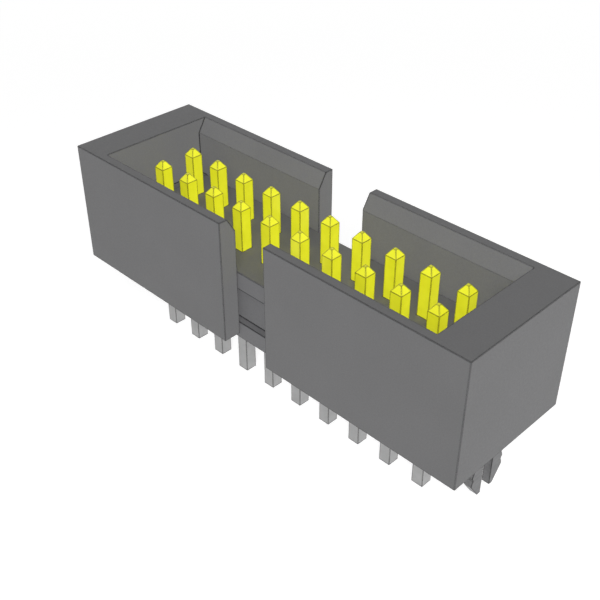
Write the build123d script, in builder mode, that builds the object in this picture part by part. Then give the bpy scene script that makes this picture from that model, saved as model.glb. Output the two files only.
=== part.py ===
from build123d import *
from math import isclose
import os

# Two-row board-to-board header, in millimetres. The origin is the middle of the face that seats on the
# circuit board: +X runs along the contact rows, +Y across them and +Z points to the mating side.

os.makedirs("parts", exist_ok=True)

# Contact grid
pitch = 1.27
row_spacing = 1.27
positions = 10

# Contact pins, square drawn wire with a coined tip
pin_square = 0.41
pin_corner = 0.015
tip_flat = 0.11
tip_length = 0.215
tip_below_rim = 0.36
tail_length = 2.29

# Insulator bar that carries the pins, with a groove along each side
bar_end_margin = 0.07
bar_width = 3.42
bar_height = 2.50
groove_depth = 0.24
flange_height = 0.62
bar_edge_radius = 0.03

# Shroud round the bar
mating_depth = 2.00
board_gap = 0.24
side_gap = 0.055
side_wall = 0.61
end_wall = 1.25
ledge_width = 0.33
ledge_drop = 0.04
end_clearance = 0.02
rim_land = 0.305
lead_in_depth = 0.50
notch_width = 1.82
tie_bar_height = 1.00
corner_radius = 0.03
edge_radius = 0.025

# Snap ribs inside the long walls, which hold the bar by its grooves
rib_length = 3.00
rib_offset = 3.70
rib_clearance = 0.03
rib_face_height = 0.40
rib_slope_height = 0.40

# Locking clips, stamped from sheet, one in each end wall
clip_thickness = 0.25
clip_cover = 0.51
clip_body_width = 2.40
clip_body_height = 2.05
clip_shoulder_rise = 0.35
clip_top_clearance = 0.05
clip_side_clearance = 0.06
clip_corner = 0.25
clip_neck_radius = 0.15
body_barb_height = 0.30
body_barb_spacing = 0.55
body_barb_rise = 0.75
prong_reach = 1.785
prong_half_span = 0.65
prong_slit = 0.44
slit_rise = 0.90
prong_barb_depth = 0.06
prong_barb_height = 0.16
prong_barb_drops = (0.94, 1.21)
prong_bevel_drop = 1.27
prong_tip_width = 0.14

# Heights and lengths that follow
rim_z = bar_height + mating_depth
ledge_z = bar_height - ledge_drop
shroud_height = rim_z - board_gap
bar_length = positions * pitch + 2 * bar_end_margin
cavity_length = bar_length + 2 * ledge_width
cavity_width = bar_width + 2 * side_gap
shroud_length = cavity_length + 2 * end_wall
shroud_width = cavity_width + 2 * side_wall
clip_body_bottom = board_gap + clip_shoulder_rise
clip_body_top = clip_body_bottom + clip_body_height
clip_pocket_width = clip_body_width + 2 * clip_side_clearance
clip_inner_x = shroud_length / 2 - clip_cover - clip_thickness


# Contact pins
def contact_pin(x, y):
    """One contact in place: a straight square wire with a pyramid tip and a cut-off solder tail."""
    tip_z = rim_z - tip_below_rim
    shoulder_z = tip_z - tip_length
    with BuildPart() as pin:
        with BuildSketch(Plane((x, y, -tail_length))):
            RectangleRounded(pin_square, pin_square, pin_corner)
        extrude(amount=shoulder_z + tail_length)
        with BuildSketch(Plane((x, y, shoulder_z))):
            RectangleRounded(pin_square, pin_square, pin_corner)
        with BuildSketch(Plane((x, y, tip_z))):
            RectangleRounded(tip_flat, tip_flat, pin_corner * tip_flat / pin_square)
        loft()
    return pin


for row_name, row_side in (("front", -1), ("back", 1)):
    for position in range(positions):
        pin_x = (position - (positions - 1) / 2) * pitch
        pin = contact_pin(pin_x, row_side * row_spacing / 2)
        pin.part.label = f"pin_{row_name}_{position + 1:02d}"
        export_step(pin.part, f"parts/{pin.part.label}.step")


# Insulator bar
with BuildPart() as pin_bar:
    with BuildSketch(Plane.YZ.offset(-bar_length / 2)):
        Rectangle(bar_width, bar_height, align=(Align.CENTER, Align.MIN))
        with Locations((-bar_width / 2, flange_height)):
            Rectangle(groove_depth, bar_height - 2 * flange_height, align=Align.MIN, mode=Mode.SUBTRACT)
        with Locations((bar_width / 2, flange_height)):
            Rectangle(
                groove_depth,
                bar_height - 2 * flange_height,
                align=(Align.MAX, Align.MIN),
                mode=Mode.SUBTRACT,
            )
    extrude(amount=bar_length)
    outer_faces = pin_bar.faces().filter_by(Axis.Z).sort_by(Axis.Z)
    fillet(outer_faces[-1].edges() + outer_faces[0].edges(), radius=bar_edge_radius)
    with BuildSketch(Plane.XY):
        with GridLocations(pitch, row_spacing, positions, 2):
            Rectangle(pin_square, pin_square)
    extrude(amount=bar_height, mode=Mode.SUBTRACT)
pin_bar.part.label = "pin_bar"
export_step(pin_bar.part, "parts/pin_bar.step")


# Shroud
def rib_section(side):
    """Section of a snap rib: a flat top under the bar's upper flange, a face and a slope below it."""
    wall_y = side * cavity_width / 2
    face_y = side * (bar_width / 2 - groove_depth + rib_clearance)
    top_z = bar_height - flange_height
    face_end_z = top_z - rib_face_height
    return [
        (wall_y, top_z),
        (face_y, top_z),
        (face_y, face_end_z),
        (wall_y, face_end_z - rib_slope_height),
    ]


def lead_in_section():
    """Section of the sloped mouth, which widens from the cavity to the land left at the rim."""
    mouth_half_width = shroud_width / 2 - rim_land
    slope_start_z = rim_z - lead_in_depth
    return [
        (-cavity_width / 2, slope_start_z),
        (cavity_width / 2, slope_start_z),
        (mouth_half_width, rim_z),
        (-mouth_half_width, rim_z),
    ]


with BuildPart() as shroud:
    with BuildSketch(Plane.XY.offset(board_gap)):
        RectangleRounded(shroud_length, shroud_width, corner_radius)
    extrude(amount=shroud_height)

    # Room for the bar below the ledges, and the mating cavity above them
    with BuildSketch(Plane.XY.offset(board_gap)):
        Rectangle(bar_length + 2 * end_clearance, cavity_width)
    extrude(amount=shroud_height, mode=Mode.SUBTRACT)
    with BuildSketch(Plane.XY.offset(ledge_z)):
        Rectangle(cavity_length, cavity_width)
    extrude(amount=rim_z - ledge_z, mode=Mode.SUBTRACT)
    with BuildSketch(Plane.YZ.offset(-cavity_length / 2)):
        with BuildLine():
            Polyline(*lead_in_section(), close=True)
        make_face()
    extrude(amount=cavity_length, mode=Mode.SUBTRACT)

    # Keying notch through both long walls; a tie bar joins the two halves low on the back
    with BuildSketch(Plane.XY.offset(board_gap)):
        with Locations((0, -shroud_width / 2)):
            Rectangle(notch_width, shroud_width / 2, align=(Align.CENTER, Align.MIN))
    extrude(amount=shroud_height, mode=Mode.SUBTRACT)
    with BuildSketch(Plane.XY.offset(board_gap + tie_bar_height)):
        Rectangle(notch_width, shroud_width / 2, align=(Align.CENTER, Align.MIN))
    extrude(amount=shroud_height - tie_bar_height, mode=Mode.SUBTRACT)

    rim_edges = shroud.edges().group_by(Axis.Z)[-1]
    foot_edges = shroud.edges().group_by(Axis.Z)[0]
    notch_edges = shroud.edges().filter_by(Axis.Z).filter_by(lambda edge: abs(edge.center().X) < notch_width)
    fillet(rim_edges + foot_edges + notch_edges, radius=edge_radius)

    for rib_side in (-1, 1):
        for rib_x in (-rib_offset, rib_offset):
            with BuildSketch(Plane.YZ.offset(rib_x - rib_length / 2)):
                with BuildLine():
                    Polyline(*rib_section(rib_side), close=True)
                make_face()
            extrude(amount=rib_length)

    # Pockets for the clips, open below
    with BuildSketch(Plane.XY.offset(board_gap)):
        for clip_side in (-1, 1):
            with Locations((clip_side * (clip_inner_x + clip_thickness / 2), 0)):
                Rectangle(clip_thickness, clip_pocket_width)
    extrude(amount=clip_body_top + clip_top_clearance - board_gap, mode=Mode.SUBTRACT)
shroud.part.label = "shroud"
export_step(shroud.part, "parts/shroud.step")


# Locking clips
def clip_half_outline():
    """Right half of the stamping, from the slit's side of the tip round to the top of the body."""
    half_body = clip_body_width / 2
    points = [(prong_slit / 2, -prong_reach), (prong_slit / 2 + prong_tip_width, -prong_reach)]
    points.append((prong_half_span + prong_barb_depth, -prong_bevel_drop))
    for drop in sorted(prong_barb_drops, reverse=True):
        points.append((prong_half_span + prong_barb_depth, -drop))
        points.append((prong_half_span, -drop + prong_barb_height))
    points.append((prong_half_span, clip_body_bottom))
    points.append((half_body, clip_body_bottom))
    for step in (0, 1):
        barb_z = clip_body_bottom + body_barb_rise + step * body_barb_spacing
        points.append((half_body, barb_z))
        points.append((half_body + clip_side_clearance, barb_z))
        points.append((half_body, barb_z + body_barb_height))
    points.append((half_body, clip_body_top))
    points.append((0, clip_body_top))
    points.append((0, -prong_reach))
    return points


def is_neck_corner(corner):
    """Whether a corner of the stamping is one where a prong meets the shoulder of the body."""
    return isclose(corner.Y, clip_body_bottom) and isclose(abs(corner.X), prong_half_span)


def locking_clip(inner_x):
    """One clip in its pocket: a barbed body with two sprung prongs below."""
    with BuildPart() as clip:
        with BuildSketch(Plane.YZ.offset(inner_x)) as stamping:
            with BuildLine():
                Polyline(*clip_half_outline(), close=True)
            make_face()
            mirror(about=Plane.YZ)
            fillet(stamping.vertices().group_by(Axis.Y)[-1], radius=clip_corner)
            neck_corners = stamping.vertices().filter_by(is_neck_corner)
            fillet(neck_corners, radius=clip_neck_radius)
            with Locations((0, slit_rise)):
                Circle(prong_slit / 2, mode=Mode.SUBTRACT)
                Rectangle(
                    prong_slit,
                    slit_rise + prong_reach,
                    align=(Align.CENTER, Align.MAX),
                    mode=Mode.SUBTRACT,
                )
        extrude(amount=clip_thickness)
    return clip


for clip_name, clip_x in (("clip_right", clip_inner_x), ("clip_left", -clip_inner_x - clip_thickness)):
    clip = locking_clip(clip_x)
    clip.part.label = clip_name
    export_step(clip.part, f"parts/{clip_name}.step")
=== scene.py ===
"""Looks of the board-to-board header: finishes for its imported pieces, and a plain studio round them."""

from __future__ import annotations

import logging
import math
from dataclasses import dataclass
from enum import Enum

import bpy
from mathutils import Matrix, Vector


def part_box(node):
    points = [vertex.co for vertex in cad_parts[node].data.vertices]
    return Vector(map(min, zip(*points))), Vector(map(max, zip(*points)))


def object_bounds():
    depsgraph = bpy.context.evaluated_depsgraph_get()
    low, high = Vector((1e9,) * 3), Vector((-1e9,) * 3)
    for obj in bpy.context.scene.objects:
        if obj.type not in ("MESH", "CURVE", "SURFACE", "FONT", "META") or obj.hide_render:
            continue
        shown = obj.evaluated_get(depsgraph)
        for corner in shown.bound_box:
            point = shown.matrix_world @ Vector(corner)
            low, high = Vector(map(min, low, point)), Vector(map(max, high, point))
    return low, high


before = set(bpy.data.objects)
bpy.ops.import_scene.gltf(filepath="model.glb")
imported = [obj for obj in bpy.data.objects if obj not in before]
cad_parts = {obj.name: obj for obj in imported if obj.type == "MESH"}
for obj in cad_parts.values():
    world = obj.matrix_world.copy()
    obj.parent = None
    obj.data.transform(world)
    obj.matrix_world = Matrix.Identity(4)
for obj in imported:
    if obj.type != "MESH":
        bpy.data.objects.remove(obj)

CAD_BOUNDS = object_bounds()
MM = 0.001
MM_PER_METRE = 1000.0

# Range that most noise values lie in
NOISE_RANGE = (0.25, 0.75)

# Places of the Mix node's sockets, whose names repeat
MIX_FACTOR = 0
MIX_FLOAT_A = 2
MIX_FLOAT_B = 3
MIX_COLOUR_A = 6
MIX_COLOUR_B = 7
MIX_FLOAT_RESULT = 0
MIX_COLOUR_RESULT = 2

# Painted shade along edges and in inner corners: samples of its probes, and the clearness at which it is
# full.
EDGE_SHADE_SAMPLES = 6
EDGE_SHADE_CLEARNESS = 0.9
TIP_LENGTH_MM = 0.215
LOG = logging.getLogger("header")


class Slot(Enum):
    """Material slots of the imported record."""

    SHROUD = "shroud_plastic"
    BAR = "bar_plastic"
    CONTACT = "contact_plating"
    CLIP = "clip_metal"


class Row(Enum):
    """The two rows of contact pins."""

    FRONT = "front"
    BACK = "back"


class Side(Enum):
    """The two ends of the header."""

    LEFT = "left"
    RIGHT = "right"


class ShaderSheet:
    """One material or world whose shader nodes are added and wired from code."""

    def __init__(self, tree: bpy.types.NodeTree) -> None:
        """Start from an empty tree.

        Args:
            tree: The node tree to fill.
        """
        self.tree = tree
        self.tree.nodes.clear()

    def add(self, kind: str, **settings: object) -> bpy.types.Node:
        """Add a node.

        Args:
            kind: Blender's name for the node type.
            settings: Properties of the node to set, such as its operation.

        Returns:
            The new node.
        """
        node = self.tree.nodes.new(kind)
        for name, value in settings.items():
            setattr(node, name, value)
        return node

    def wire(self, output: bpy.types.NodeSocket, target: bpy.types.NodeSocket) -> None:
        """Join an output socket to an input socket."""
        self.tree.links.new(output, target)

    def millimetres(self, stretch: tuple[float, float, float] = (1.0, 1.0, 1.0)) -> bpy.types.NodeSocket:
        """Give the surface point in millimetres of the part's own frame.

        Args:
            stretch: How much finer the pattern runs along each axis.

        Returns:
            The vector output to feed to a texture.
        """
        place = self.add("ShaderNodeTexCoord")
        mapping = self.add("ShaderNodeMapping")
        mapping.inputs["Scale"].default_value = [MM_PER_METRE * share for share in stretch]
        self.wire(place.outputs["Object"], mapping.inputs["Vector"])
        return mapping.outputs["Vector"]

    def noise(self, vector: bpy.types.NodeSocket, per_mm: float, detail: float) -> bpy.types.NodeSocket:
        """Add a noise texture.

        Args:
            vector: Point in millimetres.
            per_mm: Number of grains in one millimetre.
            detail: Octaves of finer noise.

        Returns:
            The noise value, about 0.5 on average.
        """
        texture = self.add("ShaderNodeTexNoise")
        texture.inputs["Scale"].default_value = per_mm
        texture.inputs["Detail"].default_value = detail
        self.wire(vector, texture.inputs["Vector"])
        return texture.outputs["Fac"]

    def between(self, value: bpy.types.NodeSocket, low: float, high: float) -> bpy.types.NodeSocket:
        """Spread a noise value over a range.

        Args:
            value: Noise value to spread.
            low: Result where the noise is low.
            high: Result where the noise is high.

        Returns:
            The spread value.
        """
        spread = self.add("ShaderNodeMapRange")
        spread.inputs["From Min"].default_value = NOISE_RANGE[0]
        spread.inputs["From Max"].default_value = NOISE_RANGE[1]
        spread.inputs["To Min"].default_value = low
        spread.inputs["To Max"].default_value = high
        self.wire(value, spread.inputs["Value"])
        return spread.outputs["Result"]

    def blend(
        self,
        factor: bpy.types.NodeSocket,
        first: bpy.types.NodeSocket | tuple[float, float, float],
        second: bpy.types.NodeSocket | tuple[float, float, float],
    ) -> bpy.types.NodeSocket:
        """Mix two colours by a varying factor.

        Args:
            factor: Share of the second colour.
            first: Colour, or the socket that gives it, where the factor is 0.
            second: Colour, or the socket that gives it, where the factor is 1.

        Returns:
            The mixed colour.
        """
        mix = self.add("ShaderNodeMix", data_type="RGBA")
        self.wire(factor, mix.inputs[MIX_FACTOR])
        for colour, target in ((first, mix.inputs[MIX_COLOUR_A]), (second, mix.inputs[MIX_COLOUR_B])):
            if isinstance(colour, tuple):
                target.default_value = (*colour, 1.0)
            else:
                self.wire(colour, target)
        return mix.outputs[MIX_COLOUR_RESULT]

    def painted_edge_shade(self, reach_mm: float) -> bpy.types.NodeSocket:
        """Find the outer edges and the inner corners of the piece, as a mask for painted shade there.

        Args:
            reach_mm: How far from edges and corners the painted shade still reaches.

        Returns:
            A value of 1 on edges and in corners, which falls to 0 on the flats beside them.
        """
        clear: list[bpy.types.NodeSocket] = []
        for inside in (True, False):
            probe = self.add(
                "ShaderNodeAmbientOcclusion", inside=inside, only_local=True, samples=EDGE_SHADE_SAMPLES
            )
            probe.inputs["Distance"].default_value = reach_mm * MM
            clear.append(probe.outputs["AO"])
        # Painted shade: the mask is 1 where a probe finds a nearby surface, along edges and in inner corners.
        both = self.add("ShaderNodeMath", operation="MINIMUM")
        self.wire(clear[0], both.inputs[0])
        self.wire(clear[1], both.inputs[1])
        share = self.add("ShaderNodeMapRange", interpolation_type="SMOOTHSTEP")
        share.inputs["From Min"].default_value = 1.0
        share.inputs["From Max"].default_value = EDGE_SHADE_CLEARNESS
        self.wire(both.outputs["Value"], share.inputs["Value"])
        return share.outputs["Result"]

    def relief(self, height: bpy.types.NodeSocket, depth_mm: float) -> bpy.types.NodeSocket:
        """Turn a height pattern into bump.

        Args:
            height: Pattern from 0 to 1.
            depth_mm: Depth of the pattern in millimetres.

        Returns:
            The bumped normal.
        """
        bump = self.add("ShaderNodeBump")
        bump.inputs["Strength"].default_value = 1.0
        bump.inputs["Distance"].default_value = depth_mm * MM
        self.wire(height, bump.inputs["Height"])
        return bump.outputs["Normal"]


def new_material(name: str) -> tuple[bpy.types.Material, ShaderSheet, bpy.types.Node]:
    """Make a material with a Principled shader on its output.

    Args:
        name: Name of the material.

    Returns:
        The material, its sheet of nodes and its shader node.
    """
    material = bpy.data.materials.new(name)
    material.use_nodes = True
    sheet = ShaderSheet(material.node_tree)
    shader = sheet.add("ShaderNodeBsdfPrincipled")
    output = sheet.add("ShaderNodeOutputMaterial")
    sheet.wire(shader.outputs["BSDF"], output.inputs["Surface"])
    return material, sheet, shader


@dataclass(frozen=True)
class MouldedPlastic:
    """Matt moulded plastic: fine spark-eroded texture, filler speckle, faint flow marks, and painted shade
    along edges and in inner corners.
    """

    name: str
    dark: tuple[float, float, float]
    light: tuple[float, float, float]
    # Colour of the painted shade along edges and in inner corners.
    edge_shade: tuple[float, float, float]
    roughness: tuple[float, float] = (0.46, 0.62)
    specular: float = 0.12
    # How far that painted shade reaches.
    edge_shade_reach_mm: float = 0.04
    texture_per_mm: float = 11.0
    texture_detail: float = 2.0
    texture_depth_mm: float = 0.004
    speckle_per_mm: float = 24.0
    speckle_detail: float = 1.0
    flow_per_mm: float = 0.45
    flow_detail: float = 3.0
    flow_share: float = 0.35

    def material(self) -> bpy.types.Material:
        """Build the material.

        Returns:
            The finished material.
        """
        material, sheet, shader = new_material(self.name)
        place = sheet.millimetres()
        texture = sheet.noise(place, self.texture_per_mm, self.texture_detail)
        speckle = sheet.between(sheet.noise(place, self.speckle_per_mm, self.speckle_detail), 0.0, 1.0)
        flow = sheet.between(sheet.noise(place, self.flow_per_mm, self.flow_detail), 0.0, 1.0)
        share = sheet.add("ShaderNodeMix", data_type="FLOAT")
        share.inputs[MIX_FACTOR].default_value = self.flow_share
        sheet.wire(speckle, share.inputs[MIX_FLOAT_A])
        sheet.wire(flow, share.inputs[MIX_FLOAT_B])
        body = sheet.blend(share.outputs[MIX_FLOAT_RESULT], self.dark, self.light)
        # Painted shade: the colour darkens along edges and in inner corners.
        edge_shaded = sheet.blend(sheet.painted_edge_shade(self.edge_shade_reach_mm), body, self.edge_shade)
        sheet.wire(edge_shaded, shader.inputs["Base Color"])
        sheet.wire(sheet.between(texture, *self.roughness), shader.inputs["Roughness"])
        sheet.wire(sheet.relief(texture, self.texture_depth_mm), shader.inputs["Normal"])
        shader.inputs["Specular IOR Level"].default_value = self.specular
        return material


@dataclass(frozen=True)
class PlatedWire:
    """Drawn square wire with fine die lines and a pressed tip, gold plated above and tin plated below, with
    painted shade along edges and round the foot of the tip.
    """

    name: str
    gold_dark: tuple[float, float, float]
    gold_light: tuple[float, float, float]
    tin_dark: tuple[float, float, float]
    tin_light: tuple[float, float, float]
    # Colours of the painted shade along edges, in inner corners and round the foot of the tip.
    gold_edge_shade: tuple[float, float, float]
    tin_edge_shade: tuple[float, float, float]
    plating_split_mm: float
    tip_foot_mm: float
    # Width of the band of painted shade round the foot of the tip.
    tip_foot_shade_mm: float = 0.025
    roughness: tuple[float, float] = (0.34, 0.46)
    metallic: float = 0.10
    edge_shade_reach_mm: float = 0.04
    line_per_mm: float = 22.0
    line_stretch: float = 0.05
    line_detail: float = 3.0
    line_depth_mm: float = 0.0012
    cloud_per_mm: float = 3.0
    cloud_detail: float = 3.0

    def material(self) -> bpy.types.Material:
        """Build the material.

        Returns:
            The finished material.
        """
        material, sheet, shader = new_material(self.name)
        along_wire = sheet.millimetres((1.0, 1.0, self.line_stretch))
        lines = sheet.noise(along_wire, self.line_per_mm, self.line_detail)
        place = sheet.millimetres()
        clouds = sheet.between(sheet.noise(place, self.cloud_per_mm, self.cloud_detail), 0.0, 1.0)
        height = sheet.add("ShaderNodeSeparateXYZ")
        sheet.wire(place, height.inputs["Vector"])
        # Painted shade: a thin dark band round the foot of the tip, joined below with the painted shade along
        # edges and in inner corners.
        tip_foot_shade = sheet.add("ShaderNodeMath", operation="COMPARE")
        tip_foot_shade.inputs[1].default_value = self.tip_foot_mm
        tip_foot_shade.inputs[2].default_value = self.tip_foot_shade_mm / 2
        sheet.wire(height.outputs["Z"], tip_foot_shade.inputs[0])
        edges = sheet.add("ShaderNodeMath", operation="MAXIMUM")
        sheet.wire(sheet.painted_edge_shade(self.edge_shade_reach_mm), edges.inputs[0])
        sheet.wire(tip_foot_shade.outputs["Value"], edges.inputs[1])
        edge_shade_mask = edges.outputs["Value"]
        gold = sheet.blend(edge_shade_mask, sheet.blend(clouds, self.gold_dark, self.gold_light), self.gold_edge_shade)
        tin = sheet.blend(edge_shade_mask, sheet.blend(clouds, self.tin_dark, self.tin_light), self.tin_edge_shade)
        above = sheet.add("ShaderNodeMath", operation="GREATER_THAN")
        above.inputs[1].default_value = self.plating_split_mm
        sheet.wire(height.outputs["Z"], above.inputs[0])
        sheet.wire(sheet.blend(above.outputs["Value"], tin, gold), shader.inputs["Base Color"])
        sheet.wire(sheet.between(lines, *self.roughness), shader.inputs["Roughness"])
        sheet.wire(sheet.relief(lines, self.line_depth_mm), shader.inputs["Normal"])
        shader.inputs["Metallic"].default_value = self.metallic
        return material


@dataclass(frozen=True)
class StampedSheet:
    """Stamped metal sheet under matt plating, with rolling lines across the strip and painted shade along
    edges and in inner corners.
    """

    name: str
    dark: tuple[float, float, float]
    light: tuple[float, float, float]
    # Colour of the painted shade along edges and in inner corners.
    edge_shade: tuple[float, float, float]
    roughness: tuple[float, float] = (0.36, 0.52)
    # How far that painted shade reaches.
    edge_shade_reach_mm: float = 0.03
    line_per_mm: float = 16.0
    line_stretch: float = 0.08
    line_detail: float = 3.0
    line_depth_mm: float = 0.0015
    grain_per_mm: float = 9.0
    grain_detail: float = 3.0

    def material(self) -> bpy.types.Material:
        """Build the material.

        Returns:
            The finished material.
        """
        material, sheet, shader = new_material(self.name)
        across_strip = sheet.millimetres((1.0, self.line_stretch, 1.0))
        lines = sheet.noise(across_strip, self.line_per_mm, self.line_detail)
        grain_noise = sheet.noise(sheet.millimetres(), self.grain_per_mm, self.grain_detail)
        grain = sheet.between(grain_noise, 0.0, 1.0)
        body = sheet.blend(grain, self.dark, self.light)
        # Painted shade: the colour darkens along edges and in inner corners.
        edge_shaded = sheet.blend(sheet.painted_edge_shade(self.edge_shade_reach_mm), body, self.edge_shade)
        sheet.wire(edge_shaded, shader.inputs["Base Color"])
        sheet.wire(sheet.between(lines, *self.roughness), shader.inputs["Roughness"])
        sheet.wire(sheet.relief(lines, self.line_depth_mm), shader.inputs["Normal"])
        shader.inputs["Metallic"].default_value = 1.0
        return material


def dress_node(name: str, material: bpy.types.Material) -> None:
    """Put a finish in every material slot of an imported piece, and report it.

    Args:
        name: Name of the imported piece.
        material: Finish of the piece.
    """
    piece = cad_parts[name]
    for material_slot in piece.material_slots:
        material_slot.material = material
    LOG.info("dressed %s with %s", name, material.name)


@dataclass
class Shroud:
    """The moulded shroud with its lead-ins, notches, ledges and clip pockets."""

    finish: MouldedPlastic
    node: str = "shroud"

    def dress(self) -> None:
        """Dress the shroud in its plastic."""
        dress_node(self.node, self.finish.material())


@dataclass
class InsulatorBar:
    """The moulded bar that carries the contact pins."""

    finish: MouldedPlastic
    node: str = "pin_bar"

    def dress(self) -> None:
        """Dress the bar in its plastic."""
        dress_node(self.node, self.finish.material())


@dataclass
class ContactPins:
    """The two rows of square contact pins."""

    finish: PlatedWire
    positions: int = 10

    def node_names(self) -> list[str]:
        """List the pins, row by row."""
        return [f"pin_{row.value}_{place:02d}" for row in Row for place in range(1, self.positions + 1)]

    def dress(self) -> None:
        """Dress every pin in the same plated wire finish."""
        material = self.finish.material()
        for name in self.node_names():
            dress_node(name, material)


@dataclass
class LockingClips:
    """The stamped clip in each end wall."""

    finish: StampedSheet

    def dress(self) -> None:
        """Dress both clips in plated sheet."""
        material = self.finish.material()
        for side in Side:
            dress_node(f"clip_{side.value}", material)


def away_from_part(azimuth_deg: float, elevation_deg: float) -> Vector:
    """Give the direction from the part to a lamp or camera.

    Args:
        azimuth_deg: Turn about the vertical, 0 in front of the long wall and 90 at the right end.
        elevation_deg: Angle above the floor.

    Returns:
        A vector of length 1.
    """
    turn = math.radians(azimuth_deg)
    rise = math.radians(elevation_deg)
    return Vector((math.sin(turn) * math.cos(rise), -math.cos(turn) * math.cos(rise), math.sin(rise)))


@dataclass
class SoftBox:
    """A square studio lamp that points at the middle of the part.

    Its level is how bright a white surface that faces it would look.
    """

    name: str
    azimuth_deg: float
    elevation_deg: float
    level: float
    distance_mm: float = 250.0
    size_mm: float = 120.0
    mirrored: bool = True
    shadow: bool = True

    def build(self, target: Vector) -> None:
        """Set up the lamp.

        Args:
            target: Point that the lamp faces.
        """
        lamp = bpy.data.lights.new(self.name, "AREA")
        lamp.shape = "SQUARE"
        lamp.size = self.size_mm * MM
        lamp.energy = self.level * (math.pi * self.distance_mm * MM) ** 2
        lamp.use_shadow = self.shadow
        holder = bpy.data.objects.new(self.name, lamp)
        holder.visible_glossy = self.mirrored
        bpy.context.scene.collection.objects.link(holder)
        back = away_from_part(self.azimuth_deg, self.elevation_deg)
        holder.location = target + back * self.distance_mm * MM
        holder.rotation_euler = (-back).to_track_quat("-Z", "Y").to_euler()
        LOG.info("placed lamp %s", self.name)


@dataclass
class ViewCamera:
    """The camera of the reference view."""

    azimuth_deg: float = 45.0
    elevation_deg: float = 35.264
    distance_mm: float = 30.02
    drop_mm: float = 0.012
    field_of_view_deg: float = 35.0
    clip_near_mm: float = 1.0
    clip_far_mm: float = 5000.0

    def build(self, target: Vector) -> None:
        """Set up the camera.

        Args:
            target: Middle of the part, just above the middle of the picture.
        """
        lens = bpy.data.cameras.new("view_camera")
        lens.angle = math.radians(self.field_of_view_deg)
        lens.clip_start = self.clip_near_mm * MM
        lens.clip_end = self.clip_far_mm * MM
        holder = bpy.data.objects.new("view_camera", lens)
        bpy.context.scene.collection.objects.link(holder)
        back = away_from_part(self.azimuth_deg, self.elevation_deg)
        aim = target - Vector((0.0, 0.0, self.drop_mm * MM))
        holder.location = aim + back * self.distance_mm * MM
        holder.rotation_euler = (-back).to_track_quat("-Z", "Y").to_euler()
        bpy.context.scene.camera = holder
        LOG.info("placed the camera")


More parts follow.
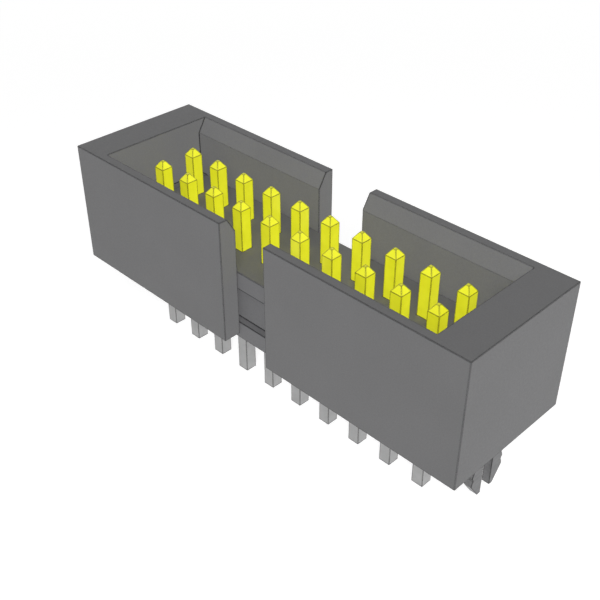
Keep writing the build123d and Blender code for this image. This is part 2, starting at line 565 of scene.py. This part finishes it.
@dataclass
class Surroundings:
    """The pale floor and the white surroundings.

    Light that bounces meets a floor of bounce_albedo. A floor that is seen has seen_albedo and glows with
    floor_lift, so that it is white round the shadow of the part.
    """

    ambient: float = 0.07
    bounce_albedo: float = 0.3
    seen_albedo: float = 0.65
    floor_lift: float = 0.60
    floor_radius_mm: float = 1500.0
    floor_sides: int = 96
    fade_start_mm: float = 10.0
    fade_end_mm: float = 45.0

    def build(self, floor_z: float) -> None:
        """Make the floor and the world.

        Args:
            floor_z: Height of the floor in metres.
        """
        self.build_floor(floor_z)
        self.build_world()

    def seen_directly(self, sheet: ShaderSheet) -> bpy.types.NodeSocket:
        """Give 1 for rays that show the surroundings: camera, mirror and transmission rays.

        Args:
            sheet: Sheet to add the nodes to.

        Returns:
            The value, 0 or 1.
        """
        path = sheet.add("ShaderNodeLightPath")
        either = sheet.add("ShaderNodeMath", operation="MAXIMUM")
        sheet.wire(path.outputs["Is Camera Ray"], either.inputs[0])
        sheet.wire(path.outputs["Is Glossy Ray"], either.inputs[1])
        any_ray = sheet.add("ShaderNodeMath", operation="MAXIMUM")
        sheet.wire(either.outputs["Value"], any_ray.inputs[0])
        sheet.wire(path.outputs["Is Transmission Ray"], any_ray.inputs[1])
        return any_ray.outputs["Value"]

    def floor_material(self) -> bpy.types.Material:
        """Build the floor's finish: pale and diffuse, lifted to white where seen, clear from below.

        Returns:
            The finished material.
        """
        material = bpy.data.materials.new("studio_floor")
        material.use_nodes = True
        sheet = ShaderSheet(material.node_tree)
        seen = self.seen_directly(sheet)

        albedo = sheet.add("ShaderNodeMapRange")
        albedo.inputs["To Min"].default_value = self.bounce_albedo
        albedo.inputs["To Max"].default_value = self.seen_albedo
        sheet.wire(seen, albedo.inputs["Value"])
        diffuse = sheet.add("ShaderNodeBsdfDiffuse")
        sheet.wire(albedo.outputs["Result"], diffuse.inputs["Color"])
        lift = sheet.add("ShaderNodeMath", operation="MULTIPLY")
        lift.inputs[1].default_value = self.floor_lift
        sheet.wire(seen, lift.inputs[0])
        glow = sheet.add("ShaderNodeEmission")
        sheet.wire(lift.outputs["Value"], glow.inputs["Strength"])
        lifted = sheet.add("ShaderNodeAddShader")
        sheet.wire(diffuse.outputs["BSDF"], lifted.inputs[0])
        sheet.wire(glow.outputs["Emission"], lifted.inputs[1])

        place = sheet.millimetres()
        reach = sheet.add("ShaderNodeVectorMath", operation="LENGTH")
        sheet.wire(place, reach.inputs[0])
        fade = sheet.add("ShaderNodeMapRange", interpolation_type="SMOOTHSTEP")
        fade.inputs["From Min"].default_value = self.fade_start_mm
        fade.inputs["From Max"].default_value = self.fade_end_mm
        sheet.wire(reach.outputs["Value"], fade.inputs["Value"])
        far = sheet.add("ShaderNodeMath", operation="MULTIPLY")
        sheet.wire(fade.outputs["Result"], far.inputs[0])
        sheet.wire(seen, far.inputs[1])
        white = sheet.add("ShaderNodeEmission")
        faded = sheet.add("ShaderNodeMixShader")
        sheet.wire(far.outputs["Value"], faded.inputs[0])
        sheet.wire(lifted.outputs["Shader"], faded.inputs[1])
        sheet.wire(white.outputs["Emission"], faded.inputs[2])

        geometry = sheet.add("ShaderNodeNewGeometry")
        below = sheet.add("ShaderNodeMixShader")
        clear = sheet.add("ShaderNodeBsdfTransparent")
        output = sheet.add("ShaderNodeOutputMaterial")
        sheet.wire(geometry.outputs["Backfacing"], below.inputs[0])
        sheet.wire(faded.outputs["Shader"], below.inputs[1])
        sheet.wire(clear.outputs["BSDF"], below.inputs[2])
        sheet.wire(below.outputs["Shader"], output.inputs["Surface"])
        return material

    def build_floor(self, floor_z: float) -> None:
        """Make the round floor.

        Args:
            floor_z: Height of the floor in metres.
        """
        mesh = bpy.data.meshes.new("floor")
        radius = self.floor_radius_mm * MM
        turns = [math.tau * side / self.floor_sides for side in range(self.floor_sides)]
        corners = [(radius * math.cos(turn), radius * math.sin(turn), floor_z) for turn in turns]
        mesh.from_pydata(corners, [], [list(range(self.floor_sides))])
        mesh.materials.append(self.floor_material())
        floor = bpy.data.objects.new("floor", mesh)
        bpy.context.scene.collection.objects.link(floor)
        LOG.info("laid the floor")

    def build_world(self) -> None:
        """Light the part evenly from all round, and show white where the surroundings are seen."""
        world = bpy.data.worlds.new("surroundings")
        world.use_nodes = True
        sheet = ShaderSheet(world.node_tree)
        seen = self.seen_directly(sheet)
        strength = sheet.add("ShaderNodeMapRange")
        strength.inputs["To Min"].default_value = self.ambient
        strength.inputs["To Max"].default_value = 1.0
        sheet.wire(seen, strength.inputs["Value"])
        background = sheet.add("ShaderNodeBackground")
        background.inputs["Color"].default_value = (1.0, 1.0, 1.0, 1.0)
        output = sheet.add("ShaderNodeOutputWorld")
        sheet.wire(strength.outputs["Result"], background.inputs["Strength"])
        sheet.wire(background.outputs["Background"], output.inputs["Surface"])
        bpy.context.scene.world = world
        LOG.info("set the surroundings")


def main() -> None:
    """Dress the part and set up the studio."""
    logging.basicConfig(level=logging.INFO, format="%(message)s")
    low, high = CAD_BOUNDS
    middle = (low + high) / 2
    bpy.context.scene.view_settings.view_transform = "Standard"

    # The darkest colour of each finish is painted shade along edges and in inner corners.
    shroud_plastic = MouldedPlastic(
        "shroud_plastic", dark=(0.153, 0.153, 0.155), light=(0.183, 0.183, 0.186), edge_shade=(0.050, 0.050, 0.051)
    )
    bar_plastic = MouldedPlastic(
        "bar_plastic", dark=(0.156, 0.156, 0.161), light=(0.188, 0.188, 0.193), edge_shade=(0.050, 0.050, 0.052)
    )
    _, bar_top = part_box("pin_bar")
    _, pin_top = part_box("pin_front_01")
    # Its gold and tin shade colours are painted shade along edges, in inner corners and round the foot of the
    # tip.
    contact_wire = PlatedWire(
        "contact_plating",
        gold_dark=(0.83, 0.83, 0.02),
        gold_light=(0.90, 0.90, 0.03),
        tin_dark=(0.32, 0.32, 0.32),
        tin_light=(0.39, 0.39, 0.39),
        gold_edge_shade=(0.27, 0.26, 0.01),
        tin_edge_shade=(0.12, 0.12, 0.12),
        plating_split_mm=bar_top.z * MM_PER_METRE / 2,
        tip_foot_mm=pin_top.z * MM_PER_METRE - TIP_LENGTH_MM,
    )
    # Its darkest colour is painted shade along edges and in inner corners.
    clip_sheet = StampedSheet(
        "clip_metal", dark=(0.16, 0.16, 0.163), light=(0.19, 0.19, 0.194), edge_shade=(0.06, 0.06, 0.06)
    )

    Shroud(shroud_plastic).dress()
    InsulatorBar(bar_plastic).dress()
    ContactPins(contact_wire).dress()
    LockingClips(clip_sheet).dress()

    ViewCamera().build(middle)
    lamps = (
        SoftBox("main_lamp", azimuth_deg=42.0, elevation_deg=42.0, level=0.30),
        SoftBox("front_fill", azimuth_deg=49.2, elevation_deg=21.8, level=1.02, mirrored=False, shadow=False),
        SoftBox("back_lamp", azimuth_deg=225.0, elevation_deg=5.0, level=0.75, mirrored=False),
        SoftBox("lower_fill", azimuth_deg=0.0, elevation_deg=-90.0, level=0.35, mirrored=False, shadow=False),
    )
    for lamp in lamps:
        lamp.build(middle)
    Surroundings().build(low.z)


if __name__ == "__main__":
    main()
